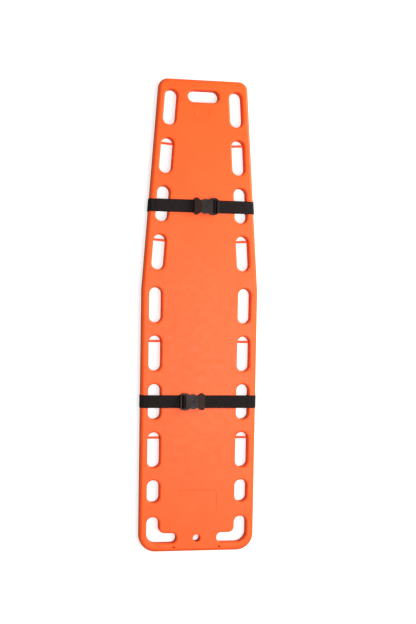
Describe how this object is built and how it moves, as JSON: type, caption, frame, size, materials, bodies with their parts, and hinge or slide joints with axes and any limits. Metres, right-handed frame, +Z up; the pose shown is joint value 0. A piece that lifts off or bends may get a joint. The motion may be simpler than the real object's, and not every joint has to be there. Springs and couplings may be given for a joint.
{
  "type": "spine board",
  "caption": "Tapered orange rescue backboard with rounded hand slots, cross pins for strap clips and two black webbing straps with side-release buckles.",
  "frame": {"origin": "middle of the bounding box at the level that the runners rest on", "axes": "+Z up through the top face, +Y along the board from the wide head end to the narrow foot end, +X to the right seen from above"},
  "size_m": [0.461, 1.84, 0.0653],
  "materials": {
    "board_orange": "satin moulded polyethylene",
    "pin_orange": "satin",
    "plug_orange": "matte",
    "foam": "rigid closed-cell foam",
    "webbing": "woven, dull",
    "buckle_grey": "fine moulded texture",
    "buckle_brown": "fine moulded texture",
    "buckle_prong": "fine moulded texture"
  },
  "bodies": {
    "board": {"board_shell": "board_orange", "foam_core": "foam", "foam_fill_plug": "plug_orange", "vent_plug": "plug_orange", "clip_pin_head_left": "pin_orange", "clip_pin_head_right": "pin_orange", "clip_pin_hip_left": "pin_orange", "clip_pin_hip_right": "pin_orange", "clip_pin_knee_left": "pin_orange", "clip_pin_knee_right": "pin_orange", "clip_pin_foot_left": "pin_orange", "clip_pin_foot_right": "pin_orange", "chest_webbing_receiver_side": "webbing", "chest_webbing_plug_side": "webbing", "chest_buckle_receiver": "buckle_grey", "leg_webbing_receiver_side": "webbing", "leg_webbing_plug_side": "webbing", "leg_buckle_receiver": "buckle_grey"},
    "chest_plug": {"chest_buckle_plug": "buckle_brown"},
    "chest_prong_head": {"chest_buckle_prong_head_side": "buckle_prong"},
    "chest_prong_foot": {"chest_buckle_prong_foot_side": "buckle_prong"},
    "leg_plug": {"leg_buckle_plug": "buckle_brown"},
    "leg_prong_head": {"leg_buckle_prong_head_side": "buckle_prong"},
    "leg_prong_foot": {"leg_buckle_prong_foot_side": "buckle_prong"}
  },
  "joints": [
    {"name": "chest_plug_slide", "type": "slide", "parent": "board", "child": "chest_plug", "axis": [1, 0, 0], "range_m": [0, 0.045], "deforming": ["chest_buckle_prong_head_side", "chest_buckle_prong_foot_side", "chest_webbing_plug_side"]},
    {"name": "chest_prong_foot_squeeze", "type": "hinge", "parent": "chest_plug", "child": "chest_prong_foot", "pos_m": [0.001, -0.3195, 0.058], "axis": [0, 0, 1], "range_deg": [0, 18], "stiffness_Nm_per_rad": 0.6},
    {"name": "chest_prong_head_squeeze", "type": "hinge", "parent": "chest_plug", "child": "chest_prong_head", "pos_m": [0.001, -0.3525, 0.058], "axis": [0, 0, -1], "range_deg": [0, 18], "stiffness_Nm_per_rad": 0.6},
    {"name": "leg_plug_slide", "type": "slide", "parent": "board", "child": "leg_plug", "axis": [-1, 0, 0], "range_m": [0, 0.045], "deforming": ["leg_buckle_prong_head_side", "leg_buckle_prong_foot_side", "leg_webbing_plug_side"]},
    {"name": "leg_prong_foot_squeeze", "type": "hinge", "parent": "leg_plug", "child": "leg_prong_foot", "pos_m": [-0.012, 0.4425, 0.058], "axis": [0, 0, -1], "range_deg": [0, 18], "stiffness_Nm_per_rad": 0.6},
    {"name": "leg_prong_head_squeeze", "type": "hinge", "parent": "leg_plug", "child": "leg_prong_head", "pos_m": [-0.012, 0.4095, 0.058], "axis": [0, 0, 1], "range_deg": [0, 18], "stiffness_Nm_per_rad": 0.6}
  ]
}
